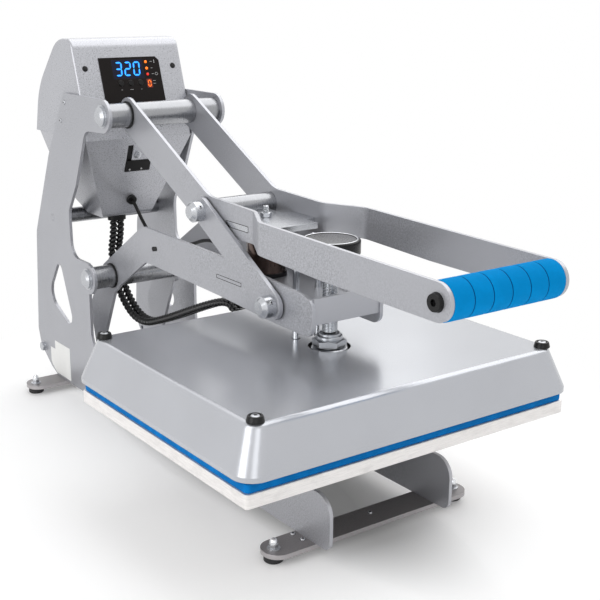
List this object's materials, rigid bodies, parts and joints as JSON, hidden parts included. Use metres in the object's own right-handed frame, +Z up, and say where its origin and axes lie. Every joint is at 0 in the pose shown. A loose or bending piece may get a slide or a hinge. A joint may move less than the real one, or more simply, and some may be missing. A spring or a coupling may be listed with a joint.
{
  "type": "clamshell heat press",
  "caption": "Clamshell heat press with a toggle handle, hinged heat platen, blue silicone pad and a digital control head.",
  "frame": {"origin": "on the floor under the middle of the whole machine's bounding box", "axes": "+X to the operator's right, +Y back from the operator to the control head, +Z up"},
  "size_m": [0.512, 1.0342, 0.593],
  "materials": {
    "frame_paint": "fine metallic powder coat",
    "cover_paint": "fine metallic powder coat",
    "head_paint": "fine metallic powder coat",
    "bar_metal": "satin dark grey",
    "zinc": "bright zinc plated",
    "chrome": "polished",
    "black_metal": "black oxide",
    "magnet_shell": "glossy dark",
    "platen_metal": "machined",
    "element_tube": "dull",
    "blanket": "woven",
    "pad_silicone": "matt",
    "grip_foam": "matt foam",
    "foot_rubber": "matt",
    "gland_rubber": "satin",
    "lead_sleeve": "spiral wrap",
    "spring_steel": "oiled",
    "overlay": "printed film",
    "window": "glossy",
    "lamps": "glossy",
    "black_plastic": "satin",
    "board": "solder mask",
    "supply_case": "perforated case"
  },
  "bodies": {
    "frame": {"side_plate_left": "frame_paint", "side_plate_right": "frame_paint", "foot_bars": "bar_metal", "rubber_feet": "foot_rubber", "side_bolts": "zinc", "pivot_shafts": "zinc", "pivot_washers": "black_metal", "pivot_caps": "zinc", "tie_rods": "zinc", "head_cover": "head_paint", "lower_housing": "head_paint", "control_panel": "overlay", "display_window": "window", "status_lamps": "lamps", "circuit_board": "board", "power_supply": "supply_case", "power_inlet": "black_plastic", "limit_switch": "black_plastic", "housing_glands": "gland_rubber", "heater_lead_1": "lead_sleeve", "heater_lead_2": "lead_sleeve", "magnet_cable": "lead_sleeve", "lower_platen": "platen_metal", "silicone_pad": "pad_silicone", "platen_brackets": "frame_paint", "return_springs": "spring_steel"},
    "left_button": {"button_left": "black_plastic"},
    "middle_button": {"button_middle": "black_plastic"},
    "right_button": {"button_right": "black_plastic"},
    "rocker": {"power_rocker": "black_plastic"},
    "platen_arm": {"lower_arm_left": "frame_paint", "lower_arm_right": "frame_paint", "arm_cross_plate": "frame_paint", "tail_rod": "zinc", "spindle_nut": "zinc", "magnet_base": "black_metal", "holding_magnet": "magnet_shell", "front_pins": "zinc", "front_washers": "black_metal"},
    "heat_head": {"heat_platen": "platen_metal", "heating_element": "element_tube", "insulation_blanket": "blanket", "platen_cover": "cover_paint", "cover_caps": "black_metal", "cover_gland": "gland_rubber", "thrust_block": "zinc", "guide_rods": "chrome"},
    "pressure_screw": {"pressure_spindle": "zinc", "pressure_knob": "black_metal"},
    "handle": {"handle_arm_left": "frame_paint", "handle_arm_right": "frame_paint", "middle_tube": "zinc", "keeper_plate": "zinc", "keeper_bolt": "zinc", "armature": "magnet_shell", "grip_tube": "zinc", "foam_grip": "grip_foam", "grip_bolts": "black_metal"},
    "links": {"toggle_links": "frame_paint", "link_caps": "zinc"}
  },
  "joints": [
    {"name": "platen_open", "type": "hinge", "parent": "frame", "child": "platen_arm", "pos_m": [0, 0.3034, 0.219], "axis": [-1, 0, 0], "range_deg": [0, 45], "deforming": ["heater_lead_1", "heater_lead_2", "magnet_cable", "return_springs"]},
    {"name": "handle_swing", "type": "hinge", "parent": "frame", "child": "handle", "pos_m": [0, 0.2284, 0.485], "axis": [-1, 0, 0], "range_deg": [0, 100.4]},
    {"name": "link_swing", "type": "hinge", "parent": "platen_arm", "child": "links", "pos_m": [0, -0.1636, 0.279], "axis": [-1, 0, 0], "range_deg": [-58, 0]},
    {"name": "platen_lift", "type": "slide", "parent": "platen_arm", "child": "heat_head", "axis": [0, 0, 1], "range_m": [0, 0.008]},
    {"name": "knob_turn", "type": "hinge", "parent": "heat_head", "child": "pressure_screw", "pos_m": [0, -0.2031, 0.24], "axis": [0, 0, 1], "range_deg": [0, 1440]},
    {"name": "rocker_tilt", "type": "hinge", "parent": "frame", "child": "rocker", "pos_m": [0, 0.4694, 0.411], "axis": [1, 0, 0], "range_deg": [-15, 0]},
    {"name": "left_press", "type": "slide", "parent": "frame", "child": "left_button", "axis": [0, 0.9487, -0.3162], "range_m": [0, 0.0012], "stiffness_N_per_m": 800},
    {"name": "middle_press", "type": "slide", "parent": "frame", "child": "middle_button", "axis": [0, 0.9487, -0.3162], "range_m": [0, 0.0012], "stiffness_N_per_m": 800},
    {"name": "right_press", "type": "slide", "parent": "frame", "child": "right_button", "axis": [0, 0.9487, -0.3162], "range_m": [0, 0.0012], "stiffness_N_per_m": 800}
  ],
  "couplings": [
    {"joint": "handle_swing", "follows": "platen_open", "ratio": 2.2293},
    {"joint": "link_swing", "follows": "platen_open", "ratio": -1.2862},
    {"joint": "knob_turn", "follows": "platen_lift", "rad_per_m": 3141.6}
  ]
}
